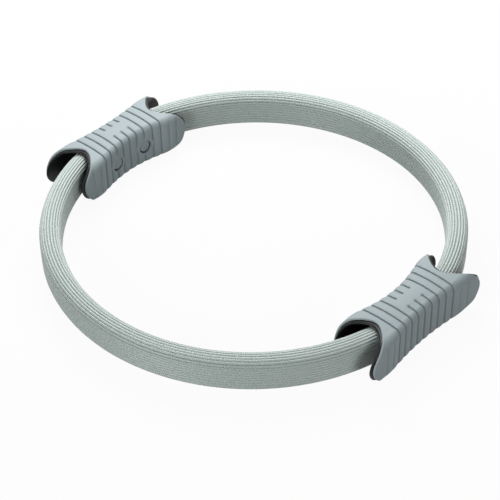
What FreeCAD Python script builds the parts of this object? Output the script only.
import FreeCAD, Part
import Sketcher
import math
import os

# Driving sizes of the ring, in millimetres
SIZES = {
    "hoop_diameter": 380.0,
    "cover_thickness": 19.0,
    "cover_roof": 3.35,
    "cover_corner": 8.0,
    "cover_end": 25.0,
    "cover_fit": 0.3,
    "rib_pitch": 2.8,
    "rib_depth": 0.45,
    "leaf_thickness": 2.0,
    "leaf_gap": 0.15,
    "leaf_joint": 1.0,
    "outer_tongue_reach": 71.5,
    "inner_tongue_reach": 65.5,
    "tongue_round": 22.5,
    "grip_height": 44.0,
    "waist_width": 36.2,
    "outer_flare": 4.3,
    "inner_flare": 8.0,
    "outer_waist_length": 98.0,
    "inner_waist_length": 87.0,
    "tongue_bend": 60.0,
    "edge_round": 8.0,
    "end_edge_round": 15.0,
    "mouth_reach": 42.0,
    "mouth_round": 16.0,
    "lip_reach": 1.5,
    "skin_thickness": 2.2,
    "sleeve_wall": 2.2,
    "sleeve_roof": 2.95,
    "bond_gap": 0.05,
    "groove_pitch": 9.0,
    "groove_width": 2.4,
    "groove_depth": 1.4,
    "tongue_groove_height": 32.0,
    "patch_width": 13.0,
    "screw_spacing": 36.0,
    "screw_diameter": 4.0,
    "screw_play": 0.3,
    "head_diameter": 7.6,
    "head_height": 1.6,
    "drive_width": 3.6,
    "drive_depth": 0.9,
    "drive_slot": 0.9,
    "recess_diameter": 12.6,
    "recess_pad": 19.5,
    "seat_depth": 1.2,
    "cap_play": 0.6,
    "cap_sink": 0.9,
    "cap_edge": 0.5,
    "cap_gap": 0.1,
    "nut_flange_diameter": 10.0,
    "nut_flange_thickness": 1.2,
    "nut_barrel_diameter": 5.6,
    "nut_barrel_length": 4.2,
    "nut_play": 0.1,
    "tip_setback": 0.5,
    "packer_height": 24.0,
    "packer_fit": 0.3,
    "packer_setback": 0.5,
    "overrun": 6.0,
}

# Sizes that follow from the driving ones
WORKED_OUT = {
    "hoop_radius": "hoop_diameter / 2",
    "cover_inside": "hoop_radius - cover_thickness",
    "core_radius": "hoop_radius - cover_thickness / 2",
    "outer_leaf_inside": "core_radius + leaf_gap / 2",
    "outer_leaf_outside": "outer_leaf_inside + leaf_thickness",
    "inner_leaf_outside": "core_radius - leaf_gap / 2",
    "inner_leaf_inside": "inner_leaf_outside - leaf_thickness",
    "half_length": "outer_tongue_reach + lip_reach",
    "grip_length": "2 * half_length",
    "half_height": "grip_height / 2",
    "wall_thickness": "skin_thickness + bond_gap + sleeve_wall",
    "cavity_height": "grip_height - 2 * (skin_thickness + bond_gap + sleeve_roof)",
    "cover_height": "cavity_height - 2 * cover_fit",
    "leaf_height": "cover_height - 2 * (cover_roof + leaf_gap)",
    "cavity_waist": "hoop_radius * sqrt(1 - (cover_end / cover_inside) ^ 2) + cover_fit",
    "outer_waist": "cavity_waist + wall_thickness",
    "inner_waist": "outer_waist - waist_width",
    "waist_middle": "(outer_waist + inner_waist) / 2",
    "outer_curve": "((outer_waist_length / 2) ^ 2 + outer_flare ^ 2) / (2 * outer_flare)",
    "inner_curve": "((inner_waist_length / 2) ^ 2 + inner_flare ^ 2) / (2 * inner_flare)",
    "outer_side": "outer_waist + outer_flare",
    "inner_side": "inner_waist - inner_flare",
    "mouth_middle": "(outer_side + inner_side) / 2",
    "screw_face": "inner_waist - inner_curve + sqrt(inner_curve ^ 2 - (screw_spacing / 2) ^ 2)",
    "screw_seat": "screw_face + skin_thickness + bond_gap + seat_depth",
    "nut_face": "cavity_waist - packer_fit",
    "packer_length": "2 * (cover_end - packer_setback)",
    "blank_length": "grip_length + 2 * overrun",
    "blank_width": "waist_width + outer_flare + inner_flare + 2 * overrun",
    "blank_start": "inner_side - overrun",
    "tall": "grip_height + 2 * overrun",
}

# Grooves that cross the top and the bottom, by their count from the middle one
WHOLE_GROOVES = (-4, -3, -2, 2, 3, 4)
BROKEN_GROOVES = (-1, 0, 1)
TONGUE_GROOVES = (-6, -5, 5, 6)

# The two grips and the turn that carries the right one's shape to each side
SIDES = {"right": 0.0, "left": 180.0}
UP = FreeCAD.Vector(0, 0, 1)
ALONG_X = FreeCAD.Rotation(FreeCAD.Vector(0, 1, 0), 90)

doc = FreeCAD.newDocument("pilates_ring")


# The sheet of sizes
def make_sheet():
    sheet = doc.addObject("Spreadsheet::Sheet", "sizes")
    row = 0
    for name, value in SIZES.items():
        row += 1
        sheet.set("A%d" % row, name)
        sheet.set("B%d" % row, str(value))
        sheet.setAlias("B%d" % row, name)
    doc.recompute()
    for name, formula in WORKED_OUT.items():
        row += 1
        sheet.set("A%d" % row, name)
        sheet.set("B%d" % row, "=" + formula)
        sheet.setAlias("B%d" % row, name)
        doc.recompute()
    return sheet


sheet = make_sheet()
aliases = list(SIZES) + list(WORKED_OUT)


def size(name):
    return float(getattr(sheet, name))


# Writes a formula in the sheet's words as an expression of the document
def formula(text):
    words = []
    for word in text.replace("(", " ( ").replace(")", " ) ").split():
        words.append("sizes." + word if word in aliases else word)
    return " ".join(words)


def bind(item, **formulas):
    for name, text in formulas.items():
        item.setExpression(name.replace("__", "."), formula(text))
    return item


def place(item, x="0", y="0", z="0"):
    return bind(item, Placement__Base__x=x, Placement__Base__y=y, Placement__Base__z=z)


# Plain building blocks
def block(name, length, width, height, x, y="0", z="0"):
    item = bind(doc.addObject("Part::Box", name), Length=length, Width=width, Height=height)
    return place(item, x, "%s - (%s) / 2" % (y, width), "%s - (%s) / 2" % (z, height))


def upright_rod(name, radius, height, x="0", y="0"):
    item = bind(doc.addObject("Part::Cylinder", name), Radius=radius, Height=height)
    return place(item, x, y, "-(%s) / 2" % height)


def cross_rod(name, radius, start, length, y="0"):
    item = bind(doc.addObject("Part::Cylinder", name), Radius=radius, Height=length)
    item.Placement = FreeCAD.Placement(FreeCAD.Vector(), ALONG_X)
    return place(item, start, y)


def cut(name, base, tool):
    item = doc.addObject("Part::Cut", name)
    item.Base = base
    item.Tool = tool
    return item


def common(name, base, tool):
    item = doc.addObject("Part::Common", name)
    item.Base = base
    item.Tool = tool
    return item


def join(name, items):
    item = doc.addObject("Part::MultiFuse", name)
    item.Shapes = items
    return item


def group(name, items):
    item = doc.addObject("Part::Compound", name)
    item.Links = items
    return item


# A straight bar with waisted sides, set in by a depth from the grip's outer faces
def waisted_bar(name, height, inset):
    width = "outer_side - inner_side - 2 * %s" % inset
    bar = block(name + "_bar", width, "blank_length", height, "inner_side + " + inset)
    outer = upright_rod(name + "_outer", "outer_curve + " + inset, "tall", "outer_waist + outer_curve")
    inner = upright_rod(name + "_inner", "inner_curve + " + inset, "tall", "inner_waist - inner_curve")
    return cut(name + "_waist", cut(name + "_side", bar, outer), inner)


# Rounds those edges of a body that a test picks out, each end with its own radius
def round_edges(name, body, radius_at, wanted):
    doc.recompute()
    rounded = doc.addObject("Part::Fillet", name)
    rounded.Base = body
    edges = []
    for number, edge in enumerate(body.Shape.Edges, start=1):
        if wanted(edge):
            start = edge.valueAt(edge.FirstParameter)
            end = edge.valueAt(edge.LastParameter)
            edges.append((number, radius_at(start), radius_at(end)))
    rounded.Edges = edges
    return rounded


def at_bar_end(edge):
    reach = size("blank_length") / 2 - size("overrun") / 2
    return min(abs(vertex.Y) for vertex in edge.Vertexes) > reach


# The upright creases where the waist runs out into the straight tongues
def is_crease(edge):
    heights = [vertex.Z for vertex in edge.Vertexes]
    return max(heights) - min(heights) > size("overrun") and not at_bar_end(edge)


# The long edges of the top and the bottom
def is_long_edge(edge):
    heights = [vertex.Z for vertex in edge.Vertexes]
    return max(heights) - min(heights) < size("bond_gap") and not at_bar_end(edge)


# The same bar with its creases bent smoothly and its long edges rounded, more so towards its ends
def rounded_bar(name, height, inset, depth):
    bar = waisted_bar(name, height, inset)

    def bend(point):
        return size("tongue_bend") - depth

    def edge_round(point):
        at_end = abs(point.y) > size("half_length")
        return size("end_edge_round" if at_end else "edge_round") - depth

    bent = round_edges(name + "_bent", bar, bend, is_crease)
    return round_edges(name, bent, edge_round, is_long_edge)


# The round-ended outline of a shell's outer and inner half, seen from the side
def grip_outline(name, growth, radius):
    pieces = []
    halves = (("outer", "waist_middle"), ("inner", "waist_middle - blank_width"))
    for half, start in halves:
        centre = "(%s_tongue_reach + %s - (%s))" % (half, growth, radius)
        pieces.append(block("%s_%s_middle" % (name, half), "blank_width", "2 * " + centre, "tall", start))
        for end, sign in (("near", "-1"), ("far", "1")):
            pieces.append(cross_rod("%s_%s_%s" % (name, half, end), radius, start, "blank_width",
                                    "%s * %s" % (sign, centre)))
    return join(name, pieces)


# The mouth at each end: a round-bottomed opening between the tongues
def mouth_cut(name, growth):
    pieces = []
    centre = "(mouth_reach + mouth_round)"
    radius = "(mouth_round - %s)" % growth
    length = "(half_length + overrun - mouth_reach - mouth_round)"
    for end, sign in (("near", "-1"), ("far", "1")):
        pieces.append(upright_rod("%s_%s_bottom" % (name, end), radius, "tall", "mouth_middle",
                                  "%s * %s" % (sign, centre)))
        pieces.append(block("%s_%s_sides" % (name, end), "2 * " + radius, length, "tall",
                            "mouth_middle - " + radius, "%s * (%s + %s / 2)" % (sign, centre, length)))
    return join(name, pieces)


def screw_places():
    return (("near", "-1 * screw_spacing / 2"), ("far", "screw_spacing / 2"))


# A rod along X at each screw's place
def screw_rods(name, radius, start, length):
    rods = []
    for end, y in screw_places():
        rods.append(cross_rod("%s_%s" % (name, end), radius, start, length, y))
    return join(name, rods)


# Grooves across the grip, broken by the smooth patch and by the pads round the screws
def groove_cut():
    slabs = []
    for step in WHOLE_GROOVES:
        y = "%d * groove_pitch" % step
        slabs.append(block("groove_%d" % step, "blank_width", "groove_width", "tall", "blank_start", y))
    for step in TONGUE_GROOVES:
        y = "%d * groove_pitch" % step
        height = "tongue_groove_height"
        slabs.append(block("groove_%d" % step, "blank_width", "groove_width", height, "blank_start", y))
    patch_start = "waist_middle - patch_width / 2"
    patch = block("smooth_patch", "patch_width", "half_length", "tall", patch_start)
    broken = []
    for step in BROKEN_GROOVES:
        y = "%d * groove_pitch" % step
        broken.append(block("groove_%d" % step, "blank_width", "groove_width", "tall", "blank_start", y))
    slabs.append(cut("broken_grooves", join("middle_grooves", broken), patch))
    pads = screw_rods("screw_pads", "recess_pad / 2", "blank_start", "blank_width / 2")
    floor = rounded_bar("groove_floor", "grip_height - 2 * groove_depth", "groove_depth",
                        size("groove_depth"))
    grooves = cut("grooves_open", join("groove_slabs", slabs), pads)
    return cut("groove_cut", grooves, floor)


# Tools that both grips share
grooves = groove_cut()
skin_outline = grip_outline("skin_outline", "0", "tongue_round")
skin_mouth = mouth_cut("skin_mouth", "0")
sleeve_outline = grip_outline("sleeve_outline", "lip_reach", "tongue_round - skin_thickness - bond_gap")
sleeve_mouth = mouth_cut("sleeve_mouth", "lip_reach")
skin_bar = rounded_bar("skin_bar", "grip_height", "0", 0)
skin_space = rounded_bar("skin_space", "grip_height - 2 * skin_thickness", "skin_thickness",
                         size("skin_thickness"))
sleeve_bar = rounded_bar("sleeve_bar", "grip_height - 2 * (skin_thickness + bond_gap)",
                         "(skin_thickness + bond_gap)", size("skin_thickness") + size("bond_gap"))
cavity = rounded_bar("cavity", "cavity_height", "wall_thickness", size("wall_thickness"))


# The soft skin: a grooved shell, open at its ends, with two round screw recesses
def skin(label):
    shell = cut("skin_shell", common("skin_outside", skin_bar, skin_outline), skin_space)
    open_shell = cut("skin_open", shell, skin_mouth)
    grooved = cut("skin_grooved", open_shell, grooves)
    length = "screw_seat - blank_start"
    return cut(label, grooved, screw_rods("recesses", "recess_diameter / 2", "blank_start", length))


# The hard sleeve: a tube that the band runs through, with a lip that stands out beyond the skin
def sleeve(label):
    shell = cut("sleeve_shell", common("sleeve_outside", sleeve_bar, sleeve_outline), cavity)
    open_shell = cut("sleeve_open", shell, sleeve_mouth)
    length = "screw_seat - blank_start"
    seated = cut("sleeve_seated", open_shell,
                 screw_rods("seats", "recess_diameter / 2", "blank_start", length))
    radius = "screw_diameter / 2 + screw_play"
    return cut(label, seated, screw_rods("sleeve_holes", radius, "blank_start", "blank_width / 2"))


# The inner packer: flat wall on one side, the inner leaf's curve on the other
def inner_packer(label):
    bar = block("inner_packer_bar", "blank_width", "packer_length", "packer_height", "blank_start")
    inside = upright_rod("inner_packer_leaf", "inner_leaf_inside - packer_fit", "tall")
    wall = upright_rod("inner_packer_wall", "inner_curve + wall_thickness + packer_fit", "tall",
                       "inner_waist - inner_curve")
    body = cut("inner_packer_body", common("inner_packer_round", bar, inside), wall)
    radius = "screw_diameter / 2 + screw_play"
    return cut(label, body, screw_rods("inner_packer_holes", radius, "blank_start", "blank_width"))


# The outer packer: the outer leaf's curve on one side, the sleeve's wall on the other
def outer_packer(label):
    bar = block("outer_packer_bar", "blank_width / 2", "packer_length", "packer_height", "waist_middle")
    leaf = upright_rod("outer_packer_leaf", "outer_leaf_outside + packer_fit", "tall")
    wall = upright_rod("outer_packer_wall", "outer_curve + wall_thickness + packer_fit", "tall",
                       "outer_waist + outer_curve")
    body = cut("outer_packer_body", cut("outer_packer_round", bar, leaf), wall)
    barrel = screw_rods("barrel_holes", "nut_barrel_diameter / 2 + nut_play", "waist_middle", "blank_width")
    sunk = screw_rods("flange_seats", "nut_flange_diameter / 2 + nut_play",
                      "nut_face - nut_flange_thickness", "blank_width")
    return cut(label, cut("outer_packer_bored", body, barrel), sunk)


# One pan-head screw with a cross recess
def one_screw(end, y):
    name = "screw_" + end
    head = cross_rod(name + "_head", "head_diameter / 2", "screw_seat - head_height", "head_height", y)
    length = "nut_face - tip_setback - screw_seat"
    shank = cross_rod(name + "_shank", "screw_diameter / 2", "screw_seat", length, y)
    start = "screw_seat - head_height"
    wide = block(name + "_wide", "drive_depth", "drive_width", "drive_slot", start, y)
    high = block(name + "_high", "drive_depth", "drive_slot", "drive_width", start, y)
    return cut(name, join(name + "_blank", [head, shank]), join(name + "_cross", [wide, high]))


# One flanged nut
def one_nut(end, y):
    name = "nut_" + end
    flange_start = "nut_face - nut_flange_thickness"
    flange = cross_rod(name + "_flange", "nut_flange_diameter / 2", flange_start, "nut_flange_thickness", y)
    barrel_start = "nut_face - nut_flange_thickness - nut_barrel_length"
    barrel = cross_rod(name + "_barrel", "nut_barrel_diameter / 2", barrel_start, "nut_barrel_length", y)
    bore_length = "nut_barrel_length + nut_flange_thickness"
    bore = cross_rod(name + "_bore", "screw_diameter / 2 + nut_play", barrel_start, bore_length, y)
    return cut(name, join(name + "_blank", [flange, barrel]), bore)


# One soft cap over a screw's head, sunk a little below the skin's face
def one_cap(end, y):
    name = "cap_" + end
    start = "screw_face + cap_sink"
    length = "screw_seat - cap_gap - (%s)" % start
    disc = cross_rod(name + "_disc", "recess_diameter / 2 - cap_play", start, length, y)
    face = size("screw_face") + size("cap_sink")

    def on_face(edge):
        return max(abs(vertex.X - face) for vertex in edge.Vertexes) < size("bond_gap")

    def edge_round(point):
        return size("cap_edge")

    rounded = round_edges(name + "_rounded", disc, edge_round, on_face)
    pocket = cross_rod(name + "_pocket", "head_diameter / 2 + cap_gap",
                       "screw_seat - head_height - cap_gap", "head_height + cap_gap", y)
    return cut(name, rounded, pocket)


def screws(label):
    return group(label, [one_screw(end, y) for end, y in screw_places()])


def caps(label):
    return group(label, [one_cap(end, y) for end, y in screw_places()])


def tee_nuts(label):
    return group(label, [one_nut(end, y) for end, y in screw_places()])


# A spring leaf: a flat strip bent round on itself, with its ends meeting inside one grip
def leaf(label, inside, joint_turn):
    body = doc.addObject("PartDesign::Body", label)
    planes = {plane.Role: plane for plane in body.Origin.OriginFeatures if hasattr(plane, "Role")}
    section = body.newObject("Sketcher::SketchObject", label + "_section")
    section.AttachmentSupport = [(planes["XZ_Plane"], "")]
    section.MapMode = "FlatFace"
    start = size(inside)
    end = start + size("leaf_thickness")
    half = size("leaf_height") / 2
    corners = [(start, -half), (end, -half), (end, half), (start, half)]
    strip_sketch(section, corners)
    bind_strip(section, inside)
    turn = body.newObject("PartDesign::Revolution", label + "_turn")
    turn.Profile = section
    turn.ReferenceAxis = (section, ["V_Axis"])
    turn.Midplane = True
    bind(turn, Angle="360 - leaf_joint / core_radius * 180 / pi")
    holes = body.newObject("Sketcher::SketchObject", label + "_hole_places")
    holes.AttachmentSupport = [(planes["YZ_Plane"], "")]
    holes.MapMode = "FlatFace"
    hole_sketch(holes)
    doc.recompute()
    bored = body.newObject("PartDesign::Pocket", label + "_holes")
    bored.Profile = holes
    bored.Type = "ThroughAll"
    bored.Midplane = True
    body.Tip = bored
    body.Placement = FreeCAD.Placement(FreeCAD.Vector(), FreeCAD.Rotation(UP, joint_turn))
    return place(body, z="half_height")


# A rectangle with upright and level sides
def strip_sketch(sketch, corners):
    for number, corner in enumerate(corners):
        after = corners[(number + 1) % len(corners)]
        sketch.addGeometry(Part.LineSegment(FreeCAD.Vector(*corner, 0), FreeCAD.Vector(*after, 0)))
    for number in range(len(corners)):
        after = (number + 1) % len(corners)
        sketch.addConstraint(Sketcher.Constraint("Coincident", number, 2, after, 1))
    for number, kind in enumerate(("Horizontal", "Vertical", "Horizontal", "Vertical")):
        sketch.addConstraint(Sketcher.Constraint(kind, number))


def dimension(sketch, name, constraint, text):
    number = sketch.addConstraint(constraint)
    sketch.renameConstraint(number, name)
    sketch.setExpression("Constraints." + name, formula(text))


def bind_strip(sketch, inside):
    half = size("leaf_height") / 2
    dimension(sketch, "thick", Sketcher.Constraint("DistanceX", 0, 1, 0, 2, size("leaf_thickness")),
              "leaf_thickness")
    dimension(sketch, "tall", Sketcher.Constraint("DistanceY", 1, 1, 1, 2, size("leaf_height")),
              "leaf_height")
    dimension(sketch, "inside", Sketcher.Constraint("DistanceX", -1, 1, 0, 1, size(inside)), inside)
    dimension(sketch, "below", Sketcher.Constraint("DistanceY", 0, 1, -1, 1, half), "leaf_height / 2")


# Two round holes where the screws pass
def hole_sketch(sketch):
    radius = size("screw_diameter") / 2 + size("screw_play")
    reach = size("screw_spacing") / 2
    for number, side in enumerate((-1, 1)):
        centre = FreeCAD.Vector(side * reach, 0, 0)
        sketch.addGeometry(Part.Circle(centre, UP, radius))
        sketch.addConstraint(Sketcher.Constraint("PointOnObject", number, 3, -1))
        dimension(sketch, "hole_%d" % number, Sketcher.Constraint("Radius", number, radius),
                  "screw_diameter / 2 + screw_play")
    dimension(sketch, "near_hole", Sketcher.Constraint("DistanceX", 0, 3, -1, 1, reach), "screw_spacing / 2")
    dimension(sketch, "far_hole", Sketcher.Constraint("DistanceX", -1, 1, 1, 3, reach), "screw_spacing / 2")


# Point and outward direction at a distance round a rounded rectangle, from the middle of its outer side
def round_the_section(distance, width, height, corner):
    level = width - 2 * corner
    upright = height - 2 * corner
    bend = math.pi * corner / 2
    runs = ((upright, 0.0), (level, 90.0), (upright, 180.0), (level, 270.0))
    distance += upright / 2
    for length, angle in runs:
        out = FreeCAD.Vector(math.cos(math.radians(angle)), math.sin(math.radians(angle)), 0)
        along = FreeCAD.Vector(-out.y, out.x, 0)
        reach = (width if out.y ** 2 < out.x ** 2 else height) / 2
        if distance <= length:
            return out * reach + along * (distance - length / 2), out
        distance -= length
        if distance <= bend:
            turn = math.radians(angle) + distance / corner
            centre = out * (reach - corner) + along * (length / 2)
            out = FreeCAD.Vector(math.cos(turn), math.sin(turn), 0)
            return centre + out * corner, out
        distance -= bend
    return round_the_section(distance - upright / 2, width, height, corner)


# The ribbed section of the cover, each rib an arc between two valleys
def ribbed_section():
    depth = size("rib_depth")
    width = size("cover_thickness") - 2 * depth
    height = size("cover_height") - 2 * depth
    corner = size("cover_corner") - depth
    level = width - 2 * corner
    upright = height - 2 * corner
    around = 2 * (level + upright) + 2 * math.pi * corner
    count = round(around / size("rib_pitch"))
    pitch = around / count

    def spot(steps, rise):
        point, out = round_the_section(pitch * (steps % count), width, height, corner)
        flat = point + out * rise
        return FreeCAD.Vector(size("core_radius") + flat.x, 0, flat.y)

    ribs = []
    for number in range(count):
        start = spot(number, 0)
        crest = spot(number + 1 / 2, depth)
        end = spot((number + 1) % count, 0)
        ribs.append(Part.Arc(start, crest, end).toShape())
    return Part.Wire(ribs)


# The slot that the leaves lie in
def leaf_slot():
    start = size("inner_leaf_inside") - size("leaf_gap")
    end = size("outer_leaf_outside") + size("leaf_gap")
    half = size("leaf_height") / 2 + size("leaf_gap")
    corners = [(start, -half), (end, -half), (end, half), (start, half), (start, -half)]
    return Part.makePolygon([FreeCAD.Vector(x, 0, z) for x, z in corners])


# Half of the cover, from inside one grip round to inside the other
def cover(label, middle_turn):
    end_turn = math.degrees(math.asin(size("cover_end") / size("cover_inside")))
    section = Part.makeFace([ribbed_section(), leaf_slot()], "Part::FaceMakerBullseye")
    section.rotate(FreeCAD.Vector(), UP, end_turn)
    item = doc.addObject("Part::Feature", label)
    item.Shape = section.revolve(FreeCAD.Vector(), UP, 180 - 2 * end_turn)
    item.Placement = FreeCAD.Placement(FreeCAD.Vector(), FreeCAD.Rotation(UP, middle_turn))
    return place(item, z="half_height")


# Every sub-part, in its place
parts = []
parts.append(leaf("outer_leaf", "outer_leaf_inside", 0.0))
parts.append(leaf("inner_leaf", "inner_leaf_inside", 180.0))
parts.append(cover("rear_cover", 0.0))
parts.append(cover("front_cover", 180.0))

GRIP_PIECES = {
    "skin": skin,
    "sleeve": sleeve,
    "inner_packer": inner_packer,
    "outer_packer": outer_packer,
    "screws": screws,
    "tee_nuts": tee_nuts,
    "caps": caps,
}
for side, turn in SIDES.items():
    for piece, make in GRIP_PIECES.items():
        item = make("%s_%s" % (side, piece))
        item.Placement = FreeCAD.Placement(FreeCAD.Vector(), FreeCAD.Rotation(UP, turn))
        parts.append(place(item, z="half_height"))

doc.recompute()

# Nothing is written unless every piece is sound
for item in doc.Objects:
    if {"Invalid", "Error"} & set(item.State):
        raise RuntimeError("%s failed: %s" % (item.Name, item.State))
for item in parts:
    if item.Shape.isNull() or not item.Shape.isValid():
        raise RuntimeError("%s has no sound shape" % item.Label)

os.makedirs("parts", exist_ok=True)
for item in parts:
    item.Shape.exportStep("parts/%s.step" % item.Label)
    box = item.Shape.BoundBox
    print("%-20s solids %d  volume %9.1f  x %7.2f %7.2f  y %7.2f %7.2f  z %6.2f %6.2f" % (
        item.Label, len(item.Shape.Solids), item.Shape.Volume,
        box.XMin, box.XMax, box.YMin, box.YMax, box.ZMin, box.ZMax))
